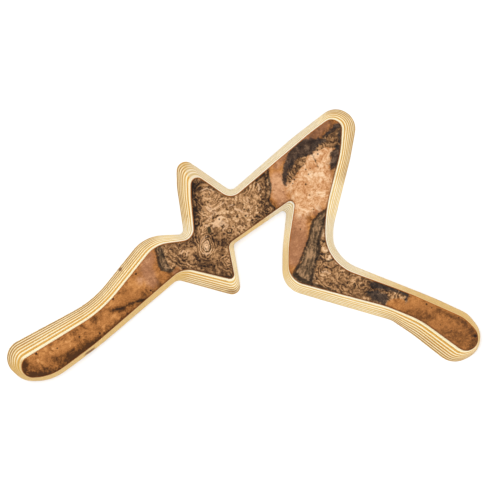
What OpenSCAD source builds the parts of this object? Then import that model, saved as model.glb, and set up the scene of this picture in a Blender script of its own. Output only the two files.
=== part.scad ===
// Boomerang cut from a laminated birch blank and faced with walnut burl.
// Seen from above, +X runs towards the right tip and +Y towards the apex. The flat underside is at z = 0.
// The blank is a stack of plies. The bevel runs from the rim, low down, up and in to the crown, where the
// burl veneer starts, so each ply is cut back a little further than the one below it.

/* [Size] */
// Length from tip to tip
span = 440; // [300:10:600]

/* [Lay-up] */
// Number of birch plies, an odd number so that both faces run lengthwise
ply_count = 13; // [7:2:15]
// Thickness of one ply
ply_t = 0.45; // [0.35:0.05:0.8]
// Thickness of one sheet of film glue
film_t = 0.05; // [0.04:0.01:0.1]
// Thickness of the burl veneer
veneer_t = 0.6; // [0.4:0.1:1.2]

/* [Edge] */
// Height of the square lip left at the rim
lip_h = 0.25; // [0.1:0.05:0.3]
// Roundness of the bevel, where 1 is a straight chamfer
bevel_power = 1.4; // [1:0.1:2]
// Width of the sanded edge of the burl veneer
veneer_bevel = 0.8; // [0.3:0.1:1]

/* [Smoothness] */
// Straight steps that each rounded corner is drawn with
corner_steps = 5; // [3:1:6]

/* [Hidden] */
// Corners of the blade, anticlockwise from the bottom of the left tip. Each has the corner of the rim,
// its rounding radius, the matching corner of the crown and its rounding radius.
drawn_span = 439;
corners = [
    // left tip and the front edge of the left arm
    [[-204.5, -126], 22, [-199, -122.5], 11],
    [[-178, -126], 45, [-178.5, -122], 48],
    [[-134, -93.5], 250, [-138, -92], 200],
    // elbow under the star, lower spike and the notch behind it
    [[-61.5, -32], 8, [-56, -21], 20],
    [[-1.5, -48.5], 7.5, [-7.5, -32.5], 4],
    [[-9.5, 1], 4, [-14, 1], 7],
    // inside of the fold, down the leg and round its heel
    [[40, 35], 3.2, [48.5, 45.5], 4],
    [[36, -5], 200, [41.5, 0.5], 120],
    [[36, -40], 22, [41.5, -32.5], 18],
    // back edge of the right arm
    [[137, -69.5], 18, [132, -56.5], 150],
    [[157, -83], 120, [163, -69], 90],
    // right tip
    [[193.5, -111.5], 20, [205, -99.5], 10.5],
    [[219.5, -98.5], 20, [216.5, -93], 10.5],
    [[219.5, -78], 20, [216.5, -80], 14],
    [[208, -63.5], 22, [204, -67], 32],
    // front edge of the right arm and the crook above it
    [[178, -49.5], 300, [150, -43], 400],
    [[94, -16], 38, [89, -21], 40],
    [[83, 1], 22, [75.5, 0], 38],
    [[83, 17], 60, [75.5, 31], 155],
    [[99, 81], 150, [90, 87.5], 100],
    // apex
    [[105.5, 117.5], 17.5, [91, 112], 8],
    [[84, 129.5], 17.5, [80.5, 118], 9],
    // top of the main arm, upper spike and the notch behind it
    [[45, 99.5], 300, [62, 104.5], 300],
    [[-11.5, 50], 7, [-11.5, 42.5], 12],
    [[-62.5, 85.5], 8.5, [-49, 68.5], 6.5],
    [[-62, 54], 60, [-49, 44], 100],
    [[-55.5, 10], 4.5, [-45.5, 5.5], 11],
    // shoulder and back edge of the left arm, back to the tip
    [[-92, 8.5], 36, [-81.5, 0.5], 28],
    [[-140, -51.5], 100, [-130.5, -60.5], 130],
    [[-219, -94], 16.5, [-205, -106.5], 9],
    [[-220, -111.5], 17.5, [-205.5, -116], 9.5]
];

pitch = ply_t + film_t;
core_h = ply_count * pitch - film_t;
size_scale = span / drawn_span;

function unit(v) = v / norm(v);
function turned(v, a) = [v.x * cos(a) - v.y * sin(a), v.x * sin(a) + v.y * cos(a)];

// Arc that rounds the corner p, between the corners before and after it
function rounding(before, p, after, r) =
    let (
        back = unit(before - p),
        ahead = unit(after - p),
        half = acos(back * ahead) / 2,
        centre = p + unit(back + ahead) * r / sin(half),
        start = p + back * r / tan(half) - centre,
        turn = sign(cross(p - before, after - p)) * (180 - 2 * half)
    )
    [for (k = [0 : corner_steps]) centre + turned(start, turn * k / corner_steps)];

// Closed outline through a list of corners and a list of their radii
function rounded_outline(points, radii) =
    let (n = len(points))
    [for (i = [0 : n - 1], q = rounding(points[(i + n - 1) % n], points[i], points[(i + 1) % n], radii[i])) q];

function middle(points) =
    let (xs = [for (p = points) p.x], ys = [for (p = points) p.y])
    [min(xs) + max(xs), min(ys) + max(ys)] / 2;

rim_drawn = rounded_outline([for (c = corners) c[0]], [for (c = corners) c[1]]);
crown_drawn = rounded_outline([for (c = corners) c[2]], [for (c = corners) c[3]]);
rim = [for (p = rim_drawn) (p - middle(rim_drawn)) * size_scale];
crown = [for (p = crown_drawn) (p - middle(rim_drawn)) * size_scale];

// Share of the way from the rim to the crown that the bevel has come at height z
function bevel_share(z) =
    z <= lip_h ? 0 : 1 - pow(1 - (z - lip_h) / (core_h - lip_h), 1 / bevel_power);

function outline_at(z) =
    let (share = bevel_share(z))
    [for (i = [0 : len(rim) - 1]) rim[i] * (1 - share) + crown[i] * share];

// Outline drawn in by a distance, square to itself
function drawn_in(points, distance) =
    let (n = len(points))
    [for (i = [0 : n - 1])
        let (along = unit(points[(i + 1) % n] - points[(i + n - 1) % n]))
        points[i] + distance * [-along.y, along.x]];

// Triangles that fill an outline, cut off it one ear at a time. loop lists the points that are left.
function is_inside(p, a, b, c) = cross(b - a, p - a) >= 0 && cross(c - b, p - b) >= 0 && cross(a - c, p - c) >= 0;
function ear(loop, k) = [for (step = [0 : 2]) loop[(k + step) % len(loop)]];
function is_ear(points, t) =
    let (a = points[t[0]], b = points[t[1]], c = points[t[2]])
    cross(b - a, c - a) > 0
    && len([for (i = [0 : len(points) - 1]) if (i != t[0] && i != t[1] && i != t[2])
            if (is_inside(points[i], a, b, c)) i]) == 0;
function next_ear(points, loop, k = 0) =
    assert(k < len(loop), "the outline crosses itself")
    is_ear(points, ear(loop, k)) ? k : next_ear(points, loop, k + 1);
function filled(points, loop, done = []) =
    len(loop) == 3 ? concat(done, [loop])
    : let (k = next_ear(points, loop), tip = (k + 1) % len(loop))
      filled(points, [for (i = [0 : len(loop) - 1]) if (i != tip) loop[i]], concat(done, [ear(loop, k)]));

// Solid through a stack of matching outlines, lowest first
module lofted(outlines, heights) {
    n = len(outlines[0]);
    last = len(outlines) - 1;
    loop = [for (i = [0 : n - 1]) i];
    sides = [for (ring = [0 : last - 1], i = [0 : n - 1])
        let (low = ring * n, j = (i + 1) % n)
        [low + i, low + n + i, low + n + j, low + j]];
    top = [for (t = filled(outlines[last], loop)) [for (i = [2, 1, 0]) last * n + t[i]]];
    polyhedron(
        points = [for (ring = [0 : last], p = outlines[ring]) [p.x, p.y, heights[ring]]],
        faces = concat(filled(outlines[0], loop), sides, top),
        convexity = 8
    );
}

function two_digits(i) = str(i < 10 ? "0" : "", i);
function ply_name(i) = str("birch_ply_", two_digits(i));
function film_name(i) = str("glue_film_", two_digits(i));

// Plies are counted from the underside. Odd ones run lengthwise, and even ones cross them.
module birch_ply(i) {
    low = (i - 1) * pitch;
    heights = i == 1 ? [0, lip_h, ply_t] : [low, low + ply_t];
    color(i % 2 == 1 ? "wheat" : "burlywood")
        lofted([for (z = heights) outline_at(z)], heights);
}

// Film i lies on ply i. The last one bonds the burl veneer.
module glue_film(i) {
    low = i * pitch - film_t;
    color("saddlebrown")
        translate([0, 0, low])
            linear_extrude(film_t)
                polygon(outline_at(min(low + film_t, core_h)));
}

module burl_veneer() {
    low = core_h + film_t;
    color("sienna")
        lofted([crown, drawn_in(crown, veneer_bevel)], [low, low + veneer_t]);
}

for (i = [1 : ply_count]) {
    birch_ply(i);
    glue_film(i);
}
burl_veneer();
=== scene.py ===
import math
import bmesh
import bpy
import numpy as np
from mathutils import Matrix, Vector, geometry


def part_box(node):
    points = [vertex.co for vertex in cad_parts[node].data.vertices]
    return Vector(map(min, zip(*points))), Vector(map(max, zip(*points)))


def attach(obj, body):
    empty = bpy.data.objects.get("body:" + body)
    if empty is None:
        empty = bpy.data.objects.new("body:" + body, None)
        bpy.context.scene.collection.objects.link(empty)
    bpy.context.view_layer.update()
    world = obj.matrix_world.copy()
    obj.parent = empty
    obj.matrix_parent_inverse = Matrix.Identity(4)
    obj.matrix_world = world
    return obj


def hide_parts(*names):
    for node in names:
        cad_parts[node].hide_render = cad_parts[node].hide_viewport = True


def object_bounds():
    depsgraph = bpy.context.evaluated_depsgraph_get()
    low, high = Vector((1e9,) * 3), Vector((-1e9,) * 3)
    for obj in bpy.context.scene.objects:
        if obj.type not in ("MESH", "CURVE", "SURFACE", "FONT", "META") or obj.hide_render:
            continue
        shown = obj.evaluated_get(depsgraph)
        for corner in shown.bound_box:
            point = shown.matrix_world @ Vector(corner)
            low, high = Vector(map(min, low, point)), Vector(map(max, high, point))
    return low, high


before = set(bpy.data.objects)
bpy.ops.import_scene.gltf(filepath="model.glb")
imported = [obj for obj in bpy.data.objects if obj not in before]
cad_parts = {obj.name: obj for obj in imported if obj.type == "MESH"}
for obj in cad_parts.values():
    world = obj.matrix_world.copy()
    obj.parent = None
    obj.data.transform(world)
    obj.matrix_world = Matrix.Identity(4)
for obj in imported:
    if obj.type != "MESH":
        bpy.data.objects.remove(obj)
cadBox = [list(corner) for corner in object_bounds()]
print("frame loaded")


# outlines taken from the laminate itself, in metres

outlineSettings = {
    "pointSpacing": 0.0013,  # between neighbouring points of a smoothed outline
    "mergeGap": 1e-7,
    "levelGap": 1e-6,
}


def ringOf(nodeName, atTop=False):
    # the closed outline of a sheet at its lowest or highest level, anticlockwise
    work = bmesh.new()
    work.from_mesh(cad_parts[nodeName].data)
    bmesh.ops.remove_doubles(work, verts=work.verts, dist=outlineSettings["mergeGap"])
    heights = [vert.co.z for vert in work.verts]
    level = max(heights) if atTop else min(heights)

    def flat(verts):
        return all(abs(vert.co.z - level) < outlineSettings["levelGap"] for vert in verts)

    nextTo = {}
    for edge in work.edges:
        if flat(edge.verts) and not all(flat(face.verts) for face in edge.link_faces):
            first, second = edge.verts
            nextTo.setdefault(first.index, []).append(second.index)
            nextTo.setdefault(second.index, []).append(first.index)
    work.verts.ensure_lookup_table()
    start = min(nextTo)
    chain = [start, nextTo[start][0]]
    while True:
        ways = [index for index in nextTo[chain[-1]] if index != chain[-2]]
        if ways[0] == start:
            break
        chain.append(ways[0])
    ring = np.array([work.verts[index].co[:2] for index in chain])
    work.free()
    following = np.roll(ring, -1, axis=0)
    area = np.sum(ring[:, 0] * following[:, 1] - ring[:, 1] * following[:, 0])
    return ring if area > 0 else ring[::-1]


def paired(ring, other):
    # turns the second outline round until its points lie beside those of the first
    gaps = [np.sum((ring - np.roll(other, -shift, axis=0)) ** 2) for shift in range(len(other))]
    return np.roll(other, -int(np.argmin(gaps)), axis=0)


def smoothed(rings, spacing):
    # the same number of points on every outline, along smooth curves through its corners
    edges = [np.roll(ring, -1, axis=0) - ring for ring in rings]
    longest = np.max([np.linalg.norm(edge, axis=1) for edge in edges], axis=0)
    counts = np.maximum(1, np.ceil(longest / spacing).astype(int))
    results = []
    for ring, edge in zip(rings, edges):
        tangent = edge + np.roll(edge, 1, axis=0)
        tangent /= np.linalg.norm(tangent, axis=1)[:, None]
        points = []
        for index, count in enumerate(counts):
            after = (index + 1) % len(ring)
            length = np.linalg.norm(edge[index])
            t = (np.arange(count) / count)[:, None]
            points.append(
                (2 * t**3 - 3 * t**2 + 1) * ring[index]
                + (t**3 - 2 * t**2 + t) * length * tangent[index]
                + (3 * t**2 - 2 * t**3) * ring[after]
                + (t**3 - t**2) * length * tangent[after]
            )
        line = np.concatenate(points)
        results.append(np.clip(line, ring.min(axis=0), ring.max(axis=0)))
    return results


rimCorners = ringOf("birch_ply_01")
crownCorners = paired(rimCorners, ringOf("burl_veneer"))
faceCorners = paired(crownCorners, ringOf("burl_veneer", atTop=True))
corners = [rimCorners, crownCorners, faceCorners]
rimLine, crownLine, faceLine = smoothed(corners, outlineSettings["pointSpacing"])
print("outlines:", len(rimCorners), "corner points,", len(rimLine), "smooth points")


def addObject(name, data):
    made = bpy.data.objects.new(name, data)
    bpy.context.scene.collection.objects.link(made)
    return made


# small helpers for node trees: a socket knows the tree that it is in

def link(socket, value):
    if isinstance(value, bpy.types.NodeSocket):
        socket.id_data.links.new(value, socket)
    elif value is not None:
        socket.default_value = value


def addNode(tree, kind, inputs=None, **settings):
    made = tree.nodes.new(kind)
    for name, value in settings.items():
        setattr(made, name, value)
    for name, value in (inputs or {}).items():
        link(made.inputs[name], value)
    return made


def output(tree, kind, inputs=None, **settings):
    return addNode(tree, kind, inputs, **settings).outputs[0]


def calc(operation, *values, clamp=False):
    tree = next(value.id_data for value in values if isinstance(value, bpy.types.NodeSocket))
    return output(tree, "ShaderNodeMath", dict(enumerate(values)), operation=operation, use_clamp=clamp)


def plus(*values):
    total = values[0]
    for value in values[1:]:
        total = calc("ADD", total, value)
    return total


def times(*values):
    total = values[0]
    for value in values[1:]:
        total = calc("MULTIPLY", total, value)
    return total


def minus(first, second):
    return calc("SUBTRACT", first, second)


def around(value, reach):
    # a value about a half, as one about nought
    return times(minus(value, 0.5), reach)


def vectorCalc(operation, first, second=None):
    made = addNode(first.id_data, "ShaderNodeVectorMath", {0: first}, operation=operation)
    if operation == "SCALE":
        link(made.inputs["Scale"], second)
    elif second is not None:
        link(made.inputs[1], second)
    return made.outputs["Value"] if operation == "LENGTH" else made.outputs["Vector"]


def partsOf(vector):
    return addNode(vector.id_data, "ShaderNodeSeparateXYZ", {0: vector}).outputs


def atHeight(vector, height):
    parts = partsOf(vector)
    return output(vector.id_data, "ShaderNodeCombineXYZ", {"X": parts[0], "Y": parts[1], "Z": height})


# the laminate: one rule shapes every ply and every film of glue

lay = {
    "plies": 13,
    "lip": 0.00025,
    "bevelPower": 1.4,
    "plyRings": 4,
    "filmRings": 2,
    "wander": 0.035,  # how far the sanded bevel strays, as a share of its width
    "wanderScale": 28.0,
    "wanderRise": 1.6,  # how fast the straying changes from rim to crown
    "seed": 7,
    "weldGap": 2e-7,
}


def bevelShare(height, core, lip, power):
    climb = calc("DIVIDE", minus(height, lip), minus(core, lip), clamp=True)
    return minus(1.0, calc("POWER", minus(1.0, climb), calc("DIVIDE", 1.0, power)))


def bevelPlace(group, rim, crown, height):
    # a point between rim and crown at a height, with the slight waviness of hand sanding
    share = bevelShare(height, group["Core Height"], group["Lip Height"], group["Bevel Power"])
    noise = addNode(rim.id_data, "ShaderNodeTexNoise", {
        "Vector": rim, "W": plus(group["Seed"], times(share, lay["wanderRise"])),
        "Scale": lay["wanderScale"], "Detail": 2.0, "Roughness": 0.5,
    }, noise_dimensions="4D").outputs["Fac"]
    bulge = times(share, minus(1.0, share), 8.0)
    moved = plus(share, times(bulge, around(noise, group["Wander"])))
    across = vectorCalc("SCALE", vectorCalc("SUBTRACT", crown, rim), moved)
    return atHeight(vectorCalc("ADD", rim, across), height)


def sampled(shape, value, index, kind="FLOAT_VECTOR"):
    inputs = {"Geometry": shape, "Value": value, "Index": index}
    return output(shape.id_data, "GeometryNodeSampleIndex", inputs, data_type=kind)


def placed(shape, position):
    return output(shape.id_data, "GeometryNodeSetPosition", {"Geometry": shape, "Position": position})


def flipped(shape):
    return output(shape.id_data, "GeometryNodeFlipFaces", {"Mesh": shape})


def shaded(shape, smooth):
    return output(shape.id_data, "GeometryNodeSetShadeSmooth", {"Geometry": shape, "Shade Smooth": smooth})


def sheetTree():
    tree = bpy.data.node_groups.new("bevelledSheet", "GeometryNodeTree")
    sockets = {"Geometry": "Geometry"}
    for name in ("Low Height", "High Height", "Core Height", "Lip Height", "Bevel Power", "Wander", "Seed"):
        sockets[name] = "Float"
    sockets.update({"Rings": "Int", "Material": "Material"})
    for name, kind in sockets.items():
        tree.interface.new_socket(name, in_out="INPUT", socket_type="NodeSocket" + kind)
    tree.interface.new_socket("Geometry", in_out="OUTPUT", socket_type="NodeSocketGeometry")
    group = addNode(tree, "NodeGroupInput").outputs
    ring = group["Geometry"]
    place = output(tree, "GeometryNodeInputPosition")
    crown = output(tree, "GeometryNodeInputNamedAttribute", {"Name": "crown"}, data_type="FLOAT_VECTOR")

    # the wall: a grid wrapped once round the outline
    sizes = addNode(tree, "GeometryNodeAttributeDomainSize", {0: ring}, component="MESH")
    count = sizes.outputs["Point Count"]
    gridSize = {"Vertices X": plus(count, 1.0), "Vertices Y": group["Rings"]}
    grid = output(tree, "GeometryNodeMeshGrid", gridSize)
    index = output(tree, "GeometryNodeInputIndex")
    column = calc("FLOOR", calc("DIVIDE", plus(index, 0.5), group["Rings"]))
    row = minus(index, times(column, group["Rings"]))
    slot = calc("MODULO", column, count)
    climb = calc("DIVIDE", row, minus(group["Rings"], 1.0))
    height = plus(group["Low Height"], times(climb, minus(group["High Height"], group["Low Height"])))
    wallPlace = bevelPlace(group, sampled(ring, place, slot), sampled(ring, crown, slot), height)
    wall = shaded(flipped(placed(grid, wallPlace)), True)

    # the two faces, filled in from the same outline
    faces = []
    for name in ("Low Height", "High Height"):
        line = placed(ring, bevelPlace(group, place, crown, group[name]))
        curve = output(tree, "GeometryNodeMeshToCurve", {"Mesh": line})
        filled = output(tree, "GeometryNodeFillCurve", {"Curve": curve}, mode="TRIANGLES")
        filled = placed(filled, atHeight(place, group[name]))
        faces.append(shaded(flipped(filled) if name == "Low Height" else filled, False))
    joined = addNode(tree, "GeometryNodeJoinGeometry")
    for part in [wall] + faces:
        link(joined.inputs[0], part)
    weld = {"Geometry": joined.outputs[0], "Distance": lay["weldGap"]}
    sheet = output(tree, "GeometryNodeMergeByDistance", weld)

    # the looks of the edge, carried over from the outline
    beside = {"Geometry": ring, "Sample Position": place}
    nearest = output(tree, "GeometryNodeSampleNearest", beside, domain="POINT")
    for label in birch["edges"]:
        onRing = output(tree, "GeometryNodeInputNamedAttribute", {"Name": label}, data_type="FLOAT")
        stored = {"Geometry": sheet, "Name": label, "Value": sampled(ring, onRing, nearest, "FLOAT")}
        sheet = output(tree, "GeometryNodeStoreNamedAttribute", stored, data_type="FLOAT", domain="POINT")
    sheet = output(tree, "GeometryNodeRealizeInstances", {"Geometry": sheet})
    finished = {"Geometry": sheet, "Material": group["Material"]}
    addNode(tree, "NodeGroupOutput", {0: output(tree, "GeometryNodeSetMaterial", finished)})
    return tree


def strokeDepth(points, stroke):
    # how far inside a stroke of changing half width each point lies, in millimetres
    knots = np.array(stroke, float)
    if len(knots) == 1:
        knots = np.repeat(knots, 2, axis=0)
    deepest = np.full(len(points), -40.0)
    for start, end in zip(knots[:-1], knots[1:]):
        step = end[:2] - start[:2]
        along = np.clip((points - start[:2]) @ step / max(step @ step, 1e-9), 0, 1)
        away = np.linalg.norm(points - start[:2] - along[:, None] * step, axis=1)
        deepest = np.maximum(deepest, start[2] + along * (end[2] - start[2]) - away)
    return deepest


def patchDepth(points, outline):
    # distance to a closed outline, positive inside
    corners = np.array(outline, float)
    inside = np.zeros(len(points), bool)
    nearest = np.full(len(points), 1e9)
    for start, end in zip(corners, np.roll(corners, -1, axis=0)):
        step = end - start
        along = np.clip((points - start) @ step / max(step @ step, 1e-12), 0, 1)
        nearest = np.minimum(nearest, np.linalg.norm(points - start - along[:, None] * step, axis=1))
        crosses = (start[1] > points[:, 1]) != (end[1] > points[:, 1])
        rise = step[1] if abs(step[1]) > 1e-12 else 1e-12
        inside ^= crosses & (points[:, 0] < start[0] + (points[:, 1] - start[1]) * step[0] / rise)
    return np.where(inside, nearest, -nearest)


def depthOf(points, lines):
    # lines of (x, y) are closed outlines, and lines of (x, y, half width) are strokes
    depths = [(strokeDepth if len(line[0]) == 3 else patchDepth)(points, line) for line in lines]
    return np.max(depths, axis=0)


def softStep(value, low, high):
    share = np.clip((value - low) / (high - low), 0, 1)
    return share * share * (3 - 2 * share)


def paintPoints(mesh, label, values):
    painted = mesh.attributes.new(label, "FLOAT", "POINT")
    painted.data.foreach_set("value", values.astype(np.float32))


def ringMesh(name):
    mesh = bpy.data.meshes.new(name)
    count = len(rimLine)
    verts = [(x, y, 0.0) for x, y in rimLine]
    mesh.from_pydata(verts, [(index, (index + 1) % count) for index in range(count)], [])
    crownTo = np.column_stack([crownLine, np.zeros(count)]).astype(np.float32)
    mesh.attributes.new("crown", "FLOAT_VECTOR", "POINT").data.foreach_set("vector", crownTo.ravel())
    for label, strokes in birch["edges"].items():
        paintPoints(mesh, label, softStep(depthOf(rimLine * 1000, strokes), *birch["edgeSoftness"]))
    return mesh


def shapedSheet(name, tree, node, rings, material):
    low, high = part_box(node)
    sheet = addObject(name, ringMesh(name))
    modifier = sheet.modifiers.new("bevelledSheet", "NODES")
    modifier.node_group = tree
    values = {
        "Low Height": low[2], "High Height": high[2], "Core Height": coreHeight, "Lip Height": lay["lip"],
        "Bevel Power": lay["bevelPower"], "Wander": lay["wander"], "Seed": float(lay["seed"]),
        "Rings": rings, "Material": material,
    }
    for item in tree.interface.items_tree:
        if item.in_out == "INPUT" and item.name in values:
            modifier[item.identifier] = values[item.name]
    evaluated = sheet.evaluated_get(bpy.context.evaluated_depsgraph_get())
    mesh = bpy.data.meshes.new_from_object(evaluated)
    sheet.modifiers.remove(modifier)
    sheet.data = mesh
    mesh.name = name
    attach(sheet, "root")
    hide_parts(node)
    return sheet


# colours

lightGain = 0.82  # the studio is bright, so every surface is a little darker than it appears


def tint(red, green, blue):
    # a display colour, 0 to 255, as the linear colour that a shader takes
    def linear(value):
        value /= 255
        return value / 12.92 if value <= 0.04045 else ((value + 0.055) / 1.055) ** 2.4
    return (linear(red) * lightGain, linear(green) * lightGain, linear(blue) * lightGain, 1.0)


# shader effects that several finishes share

def shaderGroup(name, inputs, outputs):
    tree = bpy.data.node_groups.new(name, "ShaderNodeTree")
    for way, sockets in (("INPUT", inputs), ("OUTPUT", outputs)):
        for label, kind in sockets.items():
            tree.interface.new_socket(label, in_out=way, socket_type="NodeSocket" + kind)
    return tree, addNode(tree, "NodeGroupInput").outputs


def useGroup(group, vector, **inputs):
    made = addNode(vector.id_data, "ShaderNodeGroup", {"Vector": vector}, node_tree=group)
    for name, value in inputs.items():
        link(made.inputs[name.capitalize()], value)
    return made.outputs


def noised(vector, scale, detail=3.0, roughness=0.5, distortion=0.0):
    inputs = {
        "Vector": vector, "Scale": scale, "Detail": detail, "Roughness": roughness, "Distortion": distortion,
    }
    return addNode(vector.id_data, "ShaderNodeTexNoise", inputs).outputs["Fac"]


def mapped(value, fromLow, fromHigh, toLow=0.0, toHigh=1.0):
    inputs = {"Value": value, "From Min": fromLow, "From Max": fromHigh, "To Min": toLow, "To Max": toHigh}
    return output(value.id_data, "ShaderNodeMapRange", inputs, interpolation_type="SMOOTHSTEP")


def blended(share, first, second):
    made = addNode(share.id_data, "ShaderNodeMix", {0: share, 6: first, 7: second}, data_type="RGBA")
    return made.outputs[2]


def ramped(value, stops):
    made = addNode(value.id_data, "ShaderNodeValToRGB", {0: value})
    line = made.color_ramp.elements
    while len(line) < len(stops):
        line.new(0.5)
    for element, (place, colour) in zip(line, stops):
        element.position = place
        element.color = colour
    return made.outputs[0]


def fibreGroup():
    # long thin streaks of cut fibre, lying along the axis that Stretch makes small
    inputs = {"Vector": "Vector", "Stretch": "Vector", "Scale": "Float"}
    tree, group = shaderGroup("fibreStreaks", inputs, {"Fibre": "Float"})
    drawn = vectorCalc("MULTIPLY", group["Vector"], group["Stretch"])
    coarse = noised(drawn, group["Scale"], 4.0, 0.6, 0.3)
    fine = noised(drawn, times(group["Scale"], 3.7), 2.0, 0.5)
    addNode(tree, "NodeGroupOutput", {0: plus(times(coarse, 0.65), times(fine, 0.35))})
    return tree


def poreGroup():
    # small dark openings scattered over cut wood
    inputs = {"Vector": "Vector", "Stretch": "Vector", "Scale": "Float", "Size": "Float", "Share": "Float"}
    tree, group = shaderGroup("openPores", inputs, {"Pores": "Float"})
    drawn = vectorCalc("MULTIPLY", group["Vector"], group["Stretch"])
    cells = addNode(tree, "ShaderNodeTexVoronoi", {"Vector": drawn, "Scale": group["Scale"]})
    chosen = output(tree, "ShaderNodeSeparateColor", {0: cells.outputs["Color"]})
    dots = mapped(cells.outputs["Distance"], group["Size"], times(group["Size"], 0.45))
    addNode(tree, "NodeGroupOutput", {0: times(dots, calc("LESS_THAN", chosen, group["Share"]))})
    return tree


def spotGroup():
    # one ragged mark about a centre, such as a pin knot or a stain
    inputs = {"Vector": "Vector", "Centre": "Vector", "Size": "Vector", "Turn": "Float", "Ragged": "Float"}
    tree, group = shaderGroup("raggedSpot", inputs, {"Spot": "Float"})
    turn = {"Vector": group["Vector"], "Center": group["Centre"], "Angle": times(group["Turn"], -1.0)}
    turned = output(tree, "ShaderNodeVectorRotate", turn, rotation_type="Z_AXIS")
    away = vectorCalc("DIVIDE", vectorCalc("SUBTRACT", turned, group["Centre"]), group["Size"])
    torn = around(noised(away, 1.7, 3.0), group["Ragged"])
    addNode(tree, "NodeGroupOutput", {0: mapped(plus(vectorCalc("LENGTH", away), torn), 1.15, 0.45)})
    return tree


def lacquerGroup():
    # rubbed lacquer: faint clouding, fine swirl scratches and a little dust in it
    inputs = {"Vector": "Vector", "Roughness": "Float", "Wear": "Float"}
    outputs = {"Roughness": "Float", "Coat": "Float", "Height": "Float"}
    tree, group = shaderGroup("rubbedLacquer", inputs, outputs)
    cloud = noised(group["Vector"], 0.045, 3.0)
    scratch = noised(vectorCalc("MULTIPLY", group["Vector"], (0.25, 2.2, 1.0)), 1.0, 3.0, 0.6, 0.8)
    dust = noised(group["Vector"], 1.9, 2.0, 0.5)
    change = plus(minus(cloud, 0.5), around(scratch, 0.6))
    rough = calc("ADD", group["Roughness"], times(change, group["Wear"]), clamp=True)
    coat = calc("SUBTRACT", 0.85, times(calc("ABSOLUTE", change), group["Wear"]), clamp=True)
    height = plus(times(cloud, 0.6), times(dust, 0.08))
    addNode(tree, "NodeGroupOutput", {0: rough, 1: coat, 2: height})
    return tree


fibreStreaks = fibreGroup()
openPores = poreGroup()
raggedSpot = spotGroup()
rubbedLacquer = lacquerGroup()
print("shared shader effects built")


def fibresIn(vector, stretch, scale):
    return useGroup(fibreStreaks, vector, stretch=stretch, scale=scale)["Fibre"]


def poresIn(vector, stretch, scale, size, share):
    return useGroup(openPores, vector, stretch=stretch, scale=scale, size=size, share=share)["Pores"]


def startMaterial(name):
    # the shader reads the object's own place in millimetres
    material = bpy.data.materials.new(name)
    material.use_nodes = True
    tree = material.node_tree
    tree.nodes.clear()
    shader = addNode(tree, "ShaderNodeBsdfPrincipled", {"Specular IOR Level": 0.2})
    addNode(tree, "ShaderNodeOutputMaterial", {0: shader.outputs[0]})
    coords = addNode(tree, "ShaderNodeTexCoord").outputs["Object"]
    place = output(tree, "ShaderNodeMapping", {"Vector": coords, "Scale": (1000, 1000, 1000)})
    return material, tree, shader, place


def addLacquer(shader, place, finish, share, dull=None):
    coat = useGroup(rubbedLacquer, place, roughness=finish["roughness"], wear=finish["wear"])
    rough = coat["Roughness"]
    link(shader.inputs["Roughness"], rough if dull is None else plus(rough, dull))
    link(shader.inputs["Coat Weight"], times(coat["Coat"], share))
    shader.inputs["Coat Roughness"].default_value = finish["coatRoughness"]
    return coat["Height"]


def addBump(shader, height, strength, distance):
    inputs = {"Height": height, "Strength": strength, "Distance": distance}
    link(shader.inputs["Normal"], output(height.id_data, "ShaderNodeBump", inputs))


# birch

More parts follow.
